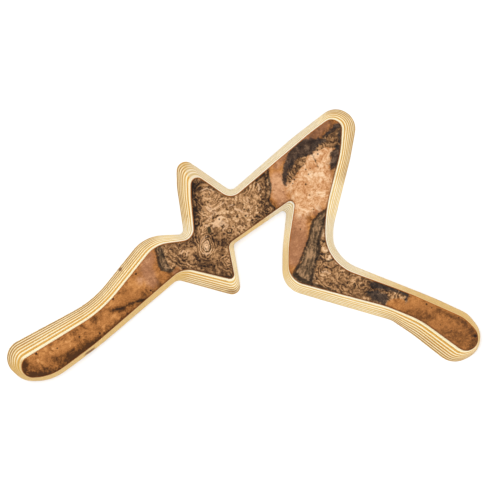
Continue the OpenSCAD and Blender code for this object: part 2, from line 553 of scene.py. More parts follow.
birch = {
    "long": {
        "light": tint(255, 249, 226), "dark": tint(250, 235, 196), "shade": tint(226, 184, 98),
        "shadeHigh": tint(250, 228, 168), "sanded": tint(246, 236, 214), "stretch": (0.045, 1.0, 1.0),
        "crispPull": 0.5, "tanPull": 0.68, "roughness": 0.42, "wear": 0.22, "coatRoughness": 0.22,
    },
    "cross": {
        "light": tint(242, 204, 124), "dark": tint(222, 176, 88), "shade": tint(160, 104, 16),
        "shadeHigh": tint(220, 160, 60), "sanded": tint(214, 192, 150), "stretch": (1.0, 0.045, 1.0),
        "crispPull": 1.0, "tanPull": 0.78, "roughness": 0.5, "wear": 0.22, "coatRoughness": 0.22,
    },
    "top": tint(252, 236, 196),
    # colours of the painted shade on the narrow, steep bevels
    "warmShade": (tint(226, 180, 84), tint(198, 146, 54)),
    "face": (tint(240, 214, 162), tint(216, 176, 116)),
    "faceFibre": tint(196, 150, 94),
    "mark": tint(118, 68, 22),
    # the colour of the painted shade at the thin outer rim
    "rim": tint(176, 126, 66),
    "pitch": 0.5,  # millimetres from one ply to the next
    "fibreScale": 1.1,
    "broad": ((0.1, 0.35, 1.0), 0.16),  # stretch and scale of the broad streaks
    "plyChange": 0.16,  # how far one ply differs from the next
    "pores": (2.6, 0.24, 0.3),  # scale, size and share
    "faceGrain": ((0.12, 1.0, 1.0), 0.09),
    "faceRings": 46.0,
    "ragged": 0.9,
    "coat": 0.25,
    "bump": (0.35, 0.00006),
    "marks": [  # centre and size in millimetres, turn in degrees, strength
        ((-114.5, -22.5, 1.5), (2.2, 1.7, 3.5), 40, 1.5),
        ((-142.6, -98.3, 2.5), (7.5, 1.3, 4.0), 36, 0.95),
        ((-11.0, -43.0, 2.5), (6.0, 2.5, 3.5), -8, 0.5),
        ((-3.0, -40.0, 2.5), (3.0, 3.5, 3.5), 0, 0.3),
        ((-64.0, 6.0, 2.0), (2.6, 1.4, 2.0), 10, 0.4),
        ((-52.0, 27.0, 3.5), (1.0, 2.6, 2.0), 0, 0.4),
    ],
    "edgeSoftness": (-10, 4),
    "edges": {  # stretches of edge, as strokes in millimetres
        "crisp": [  # where the cross plies stand out darkest
            [(-225, -112, 14), (-150, -62, 14), (-100, -8, 12), (-92, 4, 8)],
            [(-58, 30, 6), (-58, 78, 9), (-50, 84, 8)],
            [(84, 127, 6), (104, 128, 12), (106, 104, 10), (97, 66, 5)],
            [(-54, -38, 4), (-8, -46, 7)],
            [(52, -50, 0), (120, -72, 1), (150, -80, 12), (195, -108, 14), (218, -98, 10)],
        ],
        "tan": [  # painted shade: where the narrow, steep bevel is drawn a plain warm tan
            [(-214, -118, 5), (-200, -126, 6), (-178, -126, 6), (-134, -95, 6), (-62, -35, 4)],
            [(-6, 6, 3), (22, 23, 1), (32, 30, -8)],
            [(37, 8, -7), (36, -10, -2), (36, -30, -2)],
            [(110, -20, -6), (146, -36, -1), (178, -50, 6), (206, -64, 7), (220, -84, 6)],
            [(-60, 84, 3), (-30, 64, 3)],
        ],
        "paintedSheen": [  # painted highlight: the stretches of bevel drawn palest, where they face the lights
            [(-46, 76, 1), (-30, 66, 4), (-10, 56, 5), (14, 74, 5), (44, 98, 4), (66, 115, 0)],
            [(26, 27, 1), (37, 34, 4), (38, 20, 1)],
            [(84, 20, 0), (82, 0, 4), (94, -14, 4), (116, -22, 0)],
            [(-52, 14, 2), (-56, 8, 2)],
        ],
    },
}


def birchMaterial(name, looks):
    material, tree, shader, place = startMaterial(name)

    def onEdge(label):
        return addNode(tree, "ShaderNodeAttribute", attribute_name=label).outputs["Fac"]

    height = partsOf(place)[2]
    fibre = fibresIn(place, looks["stretch"], birch["fibreScale"])
    broad = fibresIn(place, *birch["broad"])
    ply = calc("FLOOR", calc("DIVIDE", height, birch["pitch"]))
    own = output(tree, "ShaderNodeTexWhiteNoise", {"W": ply}, noise_dimensions="1D")
    value = plus(times(fibre, 0.62), times(broad, 0.38), around(own, birch["plyChange"]))
    colour = blended(mapped(value, 0.25, 0.75), looks["light"], looks["dark"])
    deep = times(onEdge("crisp"), looks["crispPull"], mapped(broad, 0.25, 0.6, 0.7, 1.0))
    # the crisp dark tone of the cross plies grows darker towards the lower plies: painted shade of the
    # steeper outer bevel
    colour = blended(deep, colour, blended(mapped(height, 0.5, 6.0), looks["shade"], looks["shadeHigh"]))
    top = mapped(height, 5.9, 6.1, 0.0, 0.5)  # the ply under the burl is the palest
    colour = blended(top, colour, birch["top"])
    # painted shade: the narrow, steep bevels are drawn in a darker warm tan
    warmShade = times(onEdge("tan"), looks["tanPull"])
    colour = blended(warmShade, colour, blended(mapped(fibre, 0.3, 0.7), *birch["warmShade"]))
    # painted highlight: the stretches of bevel that face the lights are drawn paler and greyer
    colour = blended(times(onEdge("paintedSheen"), 0.75), colour, looks["sanded"])
    pores = poresIn(place, looks["stretch"], *birch["pores"])
    colour = blended(times(pores, 0.16), colour, looks["shade"])

    # the broad face grain of the underside
    normal = addNode(tree, "ShaderNodeNewGeometry").outputs["Normal"]
    rings = calc("SINE", times(fibresIn(place, *birch["faceGrain"]), birch["faceRings"]))
    face = blended(mapped(rings, -0.2, 1.0, 0.0, 0.55), *birch["face"])
    face = blended(mapped(fibre, 0.3, 0.7, 0.0, 0.35), face, birch["faceFibre"])
    colour = blended(mapped(partsOf(normal)[2], -0.5, -0.9), colour, face)
    for centre, size, turn, strength in birch["marks"]:
        look = {"centre": centre, "size": size, "turn": math.radians(turn), "ragged": birch["ragged"]}
        spot = useGroup(raggedSpot, place, **look)["Spot"]
        colour = blended(calc("MULTIPLY", spot, strength, clamp=True), colour, birch["mark"])

    # painted shade along the thin outer rim: the lowest plies are drawn darker, as the steep edge falls into
    # shade; then the rubbed lacquer and the bump
    rim = mapped(plus(height, times(broad, 0.5)), 0.75, 0.15)
    link(shader.inputs["Base Color"], blended(times(rim, 0.3), colour, birch["rim"]))
    raised = plus(times(fibre, 0.7), addLacquer(shader, place, looks, birch["coat"]))
    addBump(shader, minus(raised, pores), *birch["bump"])
    return material


film = {
    "resin": (tint(214, 166, 78), tint(236, 200, 118)),
    "starved": tint(236, 206, 150),
    "roughness": 0.35,
    "wear": 0.2,
    "coat": 0.25,
    "coatRoughness": 0.22,
    "bump": (0.3, 0.00004),
}


def filmMaterial(name):
    # hardened resin glue: a thin amber-brown line
    material, tree, shader, place = startMaterial(name)
    cloud = fibresIn(place, (0.3, 0.3, 1.0), 0.5)
    starved = poresIn(place, (1.0, 1.0, 0.3), 0.35, 0.4, 0.35)
    colour = blended(mapped(cloud, 0.3, 0.7), *film["resin"])
    link(shader.inputs["Base Color"], blended(times(starved, 0.5), colour, film["starved"]))
    addLacquer(shader, place, film, film["coat"])
    addBump(shader, plus(cloud, starved), *film["bump"])
    return material


# walnut burl

# the figure of the leaf in millimetres: lines of (x, y) are outlines, of (x, y, half width) are strokes
figure = {
    "burl": [
        [(-84, 8), (-81, -3), (-80, -8), (-79, -14), (-78, -20), (-75, -24), (-71, -24.3), (-68, -25),
         (-65, -24), (-62, -19.5), (-60, -19.5), (-58, -24), (-50, -36), (0, -48), (6, 0), (38, 27),
         (30.5, 31), (29.5, 35), (26, 38), (23, 41.5), (24.5, 44), (25.5, 48), (25.5, 54), (24, 60),
         (23.5, 66), (22.5, 74), (0, 92), (-70, 90)],
        [(68, -12), (80, -3), (95, -8), (162, -35), (153.5, -45), (152, -47), (150, -54), (148.5, -50),
         (143, -49), (139, -49.5), (136, -50), (133, -52.5), (131, -56), (128, -64), (58, -52), (62, -34),
         (66, -24)],
        [(69, 14), (73, 15), (82, 14), (84, -20), (66, -14)],
        [(72, 98.5), (78, 104), (84, 109.5), (91, 114), (96, 108), (94, 86), (85, 89), (78, 90.5), (72, 92)],
        [(41.5, 61, 3), (46, 70, 4.6), (53, 78, 4.4), (57, 82, 2)], [(66, 91, 4), (73, 94, 4)],
        [(87, 76, 3.2), (85, 64, 1.4)],
    ],
    "charcoal": [
        [(38.5, 56, 1.2), (37.8, 62, 2.2), (38.8, 68, 3), (41.5, 75, 4), (45, 82, 5), (50.5, 87.5, 6.5),
         (57, 90, 8), (62, 92.5, 6.5), (69, 96, 3.2), (75, 97, 2)],
        [(87, 91, 2.5), (85, 83, 4.8), (83.8, 76, 4), (81, 70.5, 1.3)],
        [(74, 100.5, 1), (79, 104.8, 1.8), (85, 109.6, 2), (90, 112.5, 2)], [(88, 104, 1.2), (89, 96, 1.5)],
        [(119, -36, 2), (128, -37.5, 4), (136, -39, 3), (143, -42.5, 1.5)],
        [(116, -44, 2.2), (123, -47, 5), (129, -49, 4.5), (129, -54, 2.5)],
        [(145, -43.5, 1.5), (151.5, -46, 1.8), (150.2, -52, 0.8)],
    ],
    "olive": [
        [(79, 35), (76, 33), (70, 29), (65, 24), (62, 18), (61, 10), (59, 3), (56, -4), (54, -12), (51, -18),
         (48, -24), (44, -27), (44, -36), (60, -40), (66, -31), (67, -20), (70, -12), (70.5, 0), (71, 6),
         (74, 13), (79, 14), (84, 30)],
        [(-78, 0, 2.5), (-76, -9, 3), (-73.5, -19, 3.2), (-70, -21, 2)],
    ],
    "pale": [
        [(42, 54), (46, 61), (51, 68), (56, 76), (60, 83), (65, 86), (67, 89), (71, 89), (76, 90.5), (82, 90),
         (82, 84), (78, 74), (81, 64), (80, 54), (78, 44), (72, 36), (62, 30), (52, 28), (46, 32), (47, 42)],
    ],
    "pink": [
        [(31, 60, 7), (33, 48, 7), (36, 40, 5)], [(30, 74, 3), (44, 92, 3), (66, 104, 5), (76, 113, 4)],
        [(50, 22, 8), (50, 5, 9), (47, -12, 7)], [(64, 34, 5), (70, 31, 3)],
        [(-88, -10, 5), (-90, -22, 6), (-85, -34, 5)], [(-95, -32, 3)], [(-62, -26, 3)],
    ],
    "darkLines": [
        [(-82, -2, 1), (-80, -9, 1.3), (-78, -18, 1.4), (-75.5, -22.5, 1.7), (-71, -23.3, 1.7),
         (-67, -24, 1.5), (-63, -20, 0.5)],
        [(-77, -2, 0.4), (-74.5, -8, 0.8), (-72, -15, 0.9), (-70, -20, 0.6)],
        [(22, 70, 1.2), (23, 62, 1.1), (24.6, 56, 1.3), (25, 50, 1.1), (24, 44, 0.8), (22.4, 41.6, 0.8),
         (25, 38, 1), (28.2, 35, 1.2), (29, 31, 1.2)],
        [(19.5, 66, 0.7), (20.6, 58, 0.9), (21, 50, 0.8), (20, 44, 0.6)],
        [(10, 60, 1.2), (14, 61, 1.3), (19, 66, 1.5)],
        [(77.5, 33.5, 1.1), (70, 28.5, 1.3), (65, 23, 1.4), (62, 15, 1.1), (60.5, 7, 1), (58, 0, 0.9),
         (55, -8, 0.9), (52, -16, 1.2), (47, -25, 1.7)],
        [(75.5, 27, 0.9), (72.3, 16, 1.2), (70, 8, 1.3), (69.3, 0, 1.3), (70, -8, 1.2), (67, -14, 0.9),
         (64.5, -24, 0.9), (62, -34, 1.2)],
        [(47, -26, 1.8), (52, -31, 2), (60, -35, 2), (72, -38.5, 1.2), (85, -42.5, 0.6)],
        [(71.5, 5, 0.6), (74, 3, 0.9), (77, 3.4, 0.7)], [(71, -8, 0.7), (75, -8.3, 0.8), (79, -6, 0.7)],
        [(74, -13, 0.8), (78, -15.5, 0.8), (83, -13, 1)],
        [(-121, -60, 0.5), (-113, -58.6, 1.1), (-108, -56.2, 0.7)],
        [(-106, -54, 0.9), (-101, -53, 0.9), (-97, -51.6, 0.8), (-93, -50.4, 1.1), (-89.5, -49.6, 0.7)],
        [(62.5, 85, 0.6), (65, 81, 0.5), (67.5, 76, 0.35), (69, 72, 0.15)],
        [(-47.5, 58, 1.2), (-47.6, 48, 1.1), (-46.6, 38, 0.9), (-45.6, 28, 1), (-45.4, 18, 1),
         (-45, 12, 1.3)],
        [(-46, 52.5, 0.4), (-43.5, 54, 0.6), (-42, 57, 0.7), (-40.5, 60, 0.5)],
        [(-47, 37, 0.4), (-44.5, 32.6, 0.6), (-41.5, 29.5, 0.6)],
        [(-44.8, 43, 0.3), (-43.5, 37, 0.5), (-40.5, 32.5, 0.5), (-37, 30.5, 0.3)],
        [(-28, 51.5, 1), (-25.5, 49.6, 0.7)],
        [(-35.6, -3, 0.4), (-34.5, -5.8, 0.6), (-32, -5.6, 0.6), (-30.6, -2, 0.4), (-30.8, 2, 0.3)],
        [(-57, -22, 0.6), (-50, -22.2, 0.7), (-42, -23.2, 0.7), (-30, -26.5, 0.9), (-18, -29.4, 1.3),
         (-10, -30.4, 1.5)],
        [(0, 10, 1.1), (10, 16.5, 1.2), (20, 23.5, 1.1), (28, 29, 1)],
        [(-12.6, 1, 0.6), (-12, -10, 0.6), (-10.4, -20, 0.7), (-9.4, -28, 0.9)], [(-9, 5, 1), (0, 10.3, 1.2)],
        [(-16, 13.5, 0.5), (-14.5, 11.3, 0.7), (-11.6, 11.8, 0.7), (-10.6, 14.5, 0.5)],
    ],
    "lightLines": [
        [(-35, 36, 0.5), (-31.5, 33.6, 0.7), (-27, 33, 0.7), (-22, 36.6, 0.6), (-18, 39.6, 0.4)],
        [(-34, 33.5, 0.4), (-30, 30.8, 0.6), (-26, 30.6, 0.6)],
        [(-34.5, 22, 0.4), (-31, 25.6, 0.7), (-28, 28.6, 0.6), (-25, 31, 0.5)],
        [(-32, 38, 0.4), (-30.4, 35.5, 0.6)],
        [(-28, 17, 1), (-25.5, 20, 2.3), (-23, 23, 2.8), (-21, 26, 1.2)],
        [(-23, 18.5, 1.8), (-19.5, 20.8, 1.8), (-16.6, 19.4, 0.9)],
        [(-19, 14.5, 0.8), (-16, 16.6, 0.9), (-14.6, 18.6, 0.7)],
        [(-8, 33, 0.6), (-4, 32.6, 0.9), (0, 30, 0.8), (4, 29, 0.7)], [(-14, 36, 0.5), (-10, 37.6, 0.6)],
        [(6, 33, 0.5), (8, 36, 0.5)], [(-40, 50, 0.5), (-34, 52.6, 0.6), (-28, 50.4, 0.5)],
        [(-35.3, 3, 0.7), (-36, -0.5, 0.9), (-35, -3, 0.7)],
        [(-33.4, 3.6, 0.8), (-33, -1, 1.1), (-33.6, -3.4, 0.8)],
        [(-38.5, -7, 0.4), (-35, -8.4, 0.8), (-31, -7, 0.6)],
        [(-39.4, 1, 0.4), (-37.6, 5, 0.5), (-34.2, 8.4, 0.5)], [(-35.6, 18, 0.9), (-33.4, 18.2, 0.8)],
        [(3, 44, 0.7), (4, 41, 0.8), (3, 39, 0.5)], [(13, 57, 0.5), (14.6, 52.6, 1), (14, 50, 0.6)],
        [(-58, -8, 0.6), (-55.6, -5, 0.5)], [(-53, -10, 0.4), (-51.6, -5.5, 0.4)],
        [(73, -25, 0.8), (76.6, -24.4, 0.9), (80, -26.6, 0.5)], [(85, -16.4, 0.6), (90, -19, 0.5)],
    ],
    "knots": [
        [(-121, -49.6, 1.2)], [(-99.6, -26.7, 1)], [(-100.4, -24, 0.5)], [(-133, -81.6, 1)],
        [(-192, -100.4, 1.1)], [(-193.5, -99.6, 0.6)], [(-172.4, -95.4, 0.8)], [(-151.8, -84.8, 0.8)],
        [(-86, -42, 0.9)], [(-84, -43.4, 0.7)], [(-22.5, 24, 0.8)], [(-73.6, -19.8, 0.6)],
        [(57.5, 56.4, 0.9)], [(43, 58.6, 0.8)], [(45.4, 57, 0.6)], [(46.8, 60.8, 0.8)], [(57.4, 70, 0.7)],
        [(60, 65.6, 0.6)], [(61.6, 71, 0.5)], [(68.2, 88, 0.9)], [(68.6, 84.2, 0.8)], [(61, 46.4, 0.6)],
        [(64.5, 43, 0.4)], [(64.6, 33, 0.6)], [(52.6, 14.8, 0.6)], [(214.4, -84, 1.5)], [(169.2, -54.6, 0.9)],
        [(174, -58, 0.6)], [(182, -73.6, 0.5)], [(192, -79.2, 0.6)], [(199, -67, 0.5)], [(190, -69, 0.4)],
        [(-16.6, -2, 0.7)], [(-60, -3, 0.7)], [(2, 27, 0.8)], [(-18.5, 18.6, 0.7)], [(0.5, 33, 0.8)],
        [(-12.5, 26, 0.7)], [(-37.6, 45.8, 0.6)], [(-31.6, 47, 0.7)], [(-28, 42, 0.6)], [(-4, 31, 0.5)],
        [(-9.8, 17.4, 0.7)], [(-4, 12.6, 0.6)],
    ],
    "olivespot": [[(-32, 15.6, 1.6), (-31.6, 12.6, 1.8)]],
    "even": [
        [(160, -62, 12), (185, -72, 16), (215, -90, 16)], [(-118, -56, 1), (-106, -44, 4), (-90, -26, 6)],
    ],
}

# soft changes of tone: stroke, softness in millimetres, amount
tones = [
    ([(-204, -112, 3), (-198, -118, 3), (-186, -121, 3), (-172, -117, 4), (-160, -109, 4.5), (-150, -101, 4),
     (-140, -93, 2)], 8, -0.5),
    ([(-182, -105, 1.5), (-170, -103, 2.5), (-158, -99, 2)], 5, -0.2),
    ([(-140, -93, 2), (-122, -78, 1.4), (-104, -63, 1)], 3, -0.3),
    ([(-204, -108, 1.5), (-203, -115, 2)], 4, -0.25), ([(-152, -76, 1), (-138, -69, 2)], 5, -0.12),
    ([(-110, -42, 4), (-104, -50, 3)], 6, 0.03), ([(-90, -24, 6)], 6, -0.15),
    ([(61.5, -7, 1.5), (60, -12, 1)], 3, 0.3), ([(73.2, 10, 1.8)], 2, 0.3), ([(75.4, -3.6, 2.6)], 2, 0.42),
    ([(78.6, -11.4, 2.4)], 2, 0.4), ([(72, -2, 6)], 5, -0.16), ([(71, 20, 2), (74, 26, 1)], 3, -0.12),
    ([(-122, -60, 2), (-110, -57.4, 2.6), (-97, -52.4, 2.2), (-89, -50, 1.6)], 3, -0.3),
    ([(-116, -63, 1.5), (-104, -60, 1)], 3, -0.1), ([(57, 2, 1.5), (52, -14, 1.5)], 3, -0.12),
    ([(70, -22, 9), (88, -32, 9), (108, -40, 9)], 6, -0.17), ([(44, 66, 4), (52, 78, 4)], 4, -0.2),
    ([(84, 100, 8)], 6, -0.2), ([(70, 94, 4)], 4, -0.1), ([(-72, -10, 6), (-60, -12, 5)], 6, -0.05),
    ([(-34, 2, 5)], 5, -0.1), ([(212, -88, 5)], 7, 0.08), ([(-195, -108, 3)], 5, -0.12),
    ([(-176, -100, 4)], 5, 0.06), ([(-150, -85, 5)], 6, -0.1),
    ([(-92, -46, 2), (-82, -38, 2), (-72, -32, 1)], 4, -0.18),
    ([(-193, -106, 5), (-182, -99, 5), (-165, -95, 3.5)], 7, 0.2), ([(-162, -87, 2), (-150, -88, 3)], 5, 0.1),
    ([(-138, -78, 3), (-126, -68, 5), (-116, -63, 3.5)], 6, 0.12), ([(-102, -38, 4), (-90, -34, 4)], 7, 0.14),
    ([(-115, -47, 0.3), (-106, -46.4, 0.6), (-98, -41, 0.5), (-94, -36, 0.3)], 1.6, 0.12),
    ([(-106, -37, 0.3), (-99, -35, 0.5), (-92, -26, 0.3)], 1.6, 0.1),
    ([(-85, -10, 2), (-84, -24, 2)], 4, -0.06), ([(-46, 58, 3), (-46, 20, 3), (-48, 6, 4)], 6, -0.3),
    ([(-40, -16, 5), (-24, -20, 5), (-14, -26, 3)], 6, -0.24),
    ([(-30, 8, 3), (-22, 4, 5), (-12, 4, 3)], 6, -0.2), ([(-60, -14, 3), (-50, -14, 4)], 6, -0.12),
    ([(-66, 0, 3), (-54, 2, 3)], 4, -0.12), ([(-30, 44, 5), (-20, 40, 4)], 6, 0.04), ([(-34, 0, 4)], 6, 0.1),
    ([(-34.2, 1, 0.6), (-34.6, -3, 0.6)], 3, 0.2), ([(-25.5, 20, 1.6), (-22, 24, 1.4)], 2.5, 0.42),
    ([(-19, 16.5, 0.4), (-21.8, 19, 0.5), (-20, 22.4, 0.4)], 1.2, -0.5),
    ([(-28, 25, 0.5), (-24, 27.4, 0.5)], 1.2, -0.3), ([(-34, 31, 3), (-22, 33, 3)], 5, 0.12),
    ([(-20, 22, 4), (-8, 25, 6), (4, 32, 6), (-4, 42, 5)], 7, 0.11), ([(12, 40, 4), (4, 22, 4)], 6, 0.03),
    ([(18, 58, 5), (20, 64, 3)], 6, -0.18), ([(20, 38, 4), (26, 32, 3), (14, 24, 3)], 5, -0.26),
    ([(-44, 56, 3), (-32, 54, 2)], 5, -0.16), ([(-42, 40, 3), (-42, 34, 2)], 4, -0.08),
    ([(48, 40, 5), (60, 40, 6), (72, 44, 6)], 8, 0.1), ([(30, 58, 6), (34, 46, 6)], 7, 0.24),
    ([(55, 26, 5), (56, 20, 4)], 7, 0.26), ([(66, 33, 3)], 4, -0.22), ([(60, 74, 5), (66, 66, 6)], 8, 0.08),
    ([(46, -18, 3), (44, -6, 1)], 5, -0.06), ([(62, 102, 3), (80, 114, 4)], 6, -0.27),
    ([(80, 98, 4), (88, 98, 3)], 5, -0.04), ([(74, -26, 4), (86, -30, 3)], 6, 0.14),
    ([(90, -22, 3), (104, -30, 3), (96, -42, 3)], 6, 0.12), ([(106, -42, 3), (112, -46, 3)], 6, 0.04),
    ([(120, -40, 5), (132, -42, 5)], 6, -0.2), ([(140, -46, 3), (148, -47, 2)], 4, -0.06),
    ([(137, -54, 3), (148, -55, 3), (156, -52, 3)], 5, 0.08),
    ([(150, -60, 6), (175, -68, 8), (205, -84, 8)], 8, -0.07),
    ([(152, -62, 2), (166, -66, 3), (176, -66, 2)], 5, -0.16),
    ([(180, -60, 1), (196, -67, 1), (210, -77, 1.5), (215, -86, 2), (210, -95, 2)], 4, -0.26),
    ([(196, -84, 5), (204, -88, 4)], 7, -0.12), ([(160, -54, 3), (168, -58, 3)], 5, 0.06),
    ([(176, -70, 3), (190, -74, 4)], 6, 0.05),
]

growth = {
    "slope": (0.22, 0.12),
    "eyes": [  # what the growth lines run round: x, y, reach across, reach up, height
        (-34, 0.5, 6.5, 9, 9), (-22, 21, 6, 6, 5), (-32, 14, 4, 4, 4), (-13, 13.5, 3.5, 3.5, 3),
        (-15.5, -15.5, 6, 6, 6), (-67, -6, 6, 6, 5), (-38, 44, 10, 10, 9), (4, 31, 4, 4, 3), (3, 42, 4, 4, 3),
        (14, 52, 5, 8, 6), (-57, -8, 5, 6, 4), (-25, 47, 5, 4, 4), (75, -25, 7, 5, 6), (110, -35, 9, 5, 5),
        (145, -47, 5, 4, 4), (90, -33, 6, 4, 5), (-48, -14, 5, 5, 4), (22, 33, 5, 5, 5), (80, 97, 6, 4, 4),
        (46, 68, 4, 7, 4), (100, -42, 5, 4, 3),
    ],
    "rings": [  # eyes with rings round them: x, y, squeeze across, squeeze up, reach, strength
        (-34, -0.5, 0.78, 1.25, 11, 1.1), (-15.5, -15.5, 1, 1, 7.5, 0.55), (-36, 46, 1.1, 0.9, 13, 0.26),
        (-67, -6, 1.1, 1, 6, 0.5), (-13, 13.5, 1, 1, 4, 0.9), (76, -25, 1.3, 0.9, 7, 0.45),
        (22, 33, 1, 1, 6, 0.5), (14, 53, 0.9, 1.3, 7, 0.6), (79, -11, 1.2, 1, 4, 0.8),
        (47, 69, 0.8, 1.3, 6, 0.4), (-55, -9, 0.8, 1.2, 5, 0.5), (4, 41, 1, 1, 5, 0.4),
    ],
}

burl = {
    "spacing": 0.72,  # millimetres between points of the face
    "jitter": 0.04,
    "seed": 3,
    "edgeRings": 4,
    "edgeGap": 0.42,
    "shadowSide": (0.835, 0.55),  # the edges that face this way, away from the light, get the painted shade
}


def filledIn(points, count):
    # triangles over flat points in millimetres, of which the first ones are the border in order
    edges = [(index, (index + 1) % count) for index in range(count)]
    flat = [Vector(point) for point in points]
    return geometry.delaunay_2d_cdt(flat, edges, [tuple(range(count))], 1, 1e-7)


def burlMesh(name):
    # a fine flat face with a softly rounded edge, and a plain underside
    face = faceLine * 1000
    spacing = burl["spacing"]
    low = face.min(axis=0)
    high = face.max(axis=0)
    rows = np.arange(low[1], high[1], spacing * math.sqrt(3) / 2)
    across, up = np.meshgrid(np.arange(low[0], high[0], spacing), rows)
    across = across + (np.arange(len(rows)) % 2)[:, None] * spacing / 2
    spread = np.column_stack([across.ravel(), up.ravel()])
    spread = spread[patchDepth(spread, face) > burl["edgeGap"]]
    spread += np.random.default_rng(burl["seed"]).normal(0, burl["jitter"], spread.shape)
    border = len(face)
    flatPoints, _, triangles, origins, _, _ = filledIn(np.concatenate([face, spread]), border)
    lowZ, highZ = [corner[2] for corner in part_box("burl_veneer")]
    verts = [(point.x / 1000, point.y / 1000, highZ) for point in flatPoints]
    faces = [tuple(triangle) for triangle in triangles]
    borderNow = {}
    for index, sources in enumerate(origins):
        borderNow.update({source: index for source in sources if source < border})
    loop = [borderNow[index] for index in range(border)]
    for step in range(1, burl["edgeRings"] + 1):
        turn = step / burl["edgeRings"] * math.pi / 2
        ring = faceLine + (crownLine - faceLine) * math.sin(turn)
        start = len(verts)
        verts += [(x, y, highZ + (lowZ - highZ) * (1 - math.cos(turn))) for x, y in ring]
        nextLoop = list(range(start, start + border))
        for index in range(border):
            after = (index + 1) % border
            faces.append((loop[index], nextLoop[index], nextLoop[after], loop[after]))
        loop = nextLoop
    under = filledIn([Vector(verts[index][:2]) * 1000 for index in loop], border)
    for triangle in under[2]:
        faces.append(tuple(loop[under[3][corner][0]] for corner in reversed(triangle)))
    mesh = bpy.data.meshes.new(name)
    mesh.from_pydata(verts, [], faces)
    work = bmesh.new()
    work.from_mesh(mesh)
    bmesh.ops.recalc_face_normals(work, faces=work.faces)
    for one in work.faces:
        one.smooth = one.normal.z > -0.9
    work.to_mesh(mesh)
    work.free()
    return mesh


def shadowSideFacing(points, outline):
    # how far the nearest stretch of edge faces the shaded side, away from the light, from -1 to 1, for the
    # painted edge shade
    along = np.roll(outline, -1, axis=0) - np.roll(outline, 1, axis=0)
    along /= np.linalg.norm(along, axis=1)[:, None]
    shadowFacing = along[:, 1] * burl["shadowSide"][1] + along[:, 0] * burl["shadowSide"][0]
    batch = 4000  # points at a time
    result = np.empty(len(points))
    for start in range(0, len(points), batch):
        some = points[start:start + batch]
        far = (some[:, None, 0] - outline[None, :, 0]) ** 2 + (some[:, None, 1] - outline[None, :, 1]) ** 2
        result[start:start + batch] = shadowFacing[np.argmin(far, axis=1)]
    return result


def paintFigure(mesh):
    places = np.empty(len(mesh.vertices) * 3)
    mesh.vertices.foreach_get("co", places)
    places = places.reshape(-1, 3)[:, :2] * 1000
    layers = {name: depthOf(places, lines) for name, lines in figure.items()}
    layers["edge"] = patchDepth(places, crownLine * 1000)
    layers["shadowFacing"] = shadowSideFacing(places, crownLine * 1000)
    layers["lift"] = np.zeros(len(places))
    for stroke, softness, amount in tones:
        layers["lift"] += amount * softStep(strokeDepth(places, stroke), -softness, softness * 0.4)
    layers["growth"] = growth["slope"][0] * places[:, 0] + growth["slope"][1] * places[:, 1]
    for x, y, reachX, reachY, height in growth["eyes"]:
        away = ((places[:, 0] - x) / reachX) ** 2 + ((places[:, 1] - y) / reachY) ** 2
        layers["growth"] += height * np.exp(-away / 2)
    ringFar = np.zeros(len(places))
    ringNear = np.zeros(len(places))
    for x, y, acrossBy, upBy, reach, strength in growth["rings"]:
        far = np.hypot((places[:, 0] - x) / acrossBy, (places[:, 1] - y) / upBy)
        near = strength * np.exp(-((far / reach) ** 4))
        ringFar = np.where(near > ringNear, far, ringFar)
        ringNear = np.maximum(ringNear, near)
    layers["ringFar"] = ringFar
    layers["ringNear"] = ringNear
    for name, values in layers.items():
        paintPoints(mesh, name, np.clip(values, -100, 100))


def evenly(*colours):
    # colours spaced evenly along a ramp
    return [(index / (len(colours) - 1), tint(*colour)) for index, colour in enumerate(colours)]


walnut = {
    "calm": evenly((78, 46, 20), (124, 76, 34), (172, 110, 56), (202, 136, 74), (222, 160, 98)),
    "burl": evenly((30, 20, 13), (72, 49, 31), (122, 86, 54), (166, 122, 80), (208, 160, 112),
                   (240, 204, 162)),
    "charcoal": evenly((26, 21, 19), (58, 47, 41), (112, 90, 72)),
    "olive": evenly((42, 31, 20), (112, 86, 60), (176, 136, 98)),
    "pale": evenly((174, 108, 58), (220, 163, 112), (247, 210, 170)),
    "pink": [(0.0, tint(124, 81, 54)), (0.5, tint(172, 118, 82)), (0.75, tint(204, 149, 108)),
             (1.0, tint(222, 170, 128))],
    "line": tint(30, 21, 15),
    "bright": tint(232, 188, 146),
    "knot": tint(26, 18, 13),
    "spot": tint(66, 52, 30),
    "freckle": tint(96, 54, 28),
    # the leaf's own dark edge colour, also used for the painted shade on the edges that face away from the
    # light
    "edge": tint(44, 24, 9),
    # the warm line at the very edge, made stronger as painted light on the edges that face the light
    "warmEdge": tint(176, 100, 24),
    "level": {"calm": 0.49, "pink": 0.5, "pale": 0.54, "burl": 0.59, "olive": 0.6, "charcoal": 0.42},
    "drift": 14.0,  # millimetres that the figure strays
    "grain": ((0.08, 1.0, 1.0), 0.5),  # stretch and scale
    "pores": ((0.35, 1.0, 1.0), 1.5, 0.3, 0.35),  # stretch, scale, size and share
    "freckles": ((1.0, 1.0, 0.0), 0.6, 0.3, 0.3),
    "specks": ((1.0, 1.0, 0.0), 0.33, 0.42, 0.5),
    "smallSpecks": ((1.0, 1.0, 0.0), 0.62, 0.42, 0.35),
    "streaks": ((1.0, 0.2, 1.0), 0.26),
    "grainTurn": -28,  # degrees
    "roughness": 0.4,
    "wear": 0.2,
    "coatRoughness": 0.24,
    "bump": (0.3, 0.00006),
}


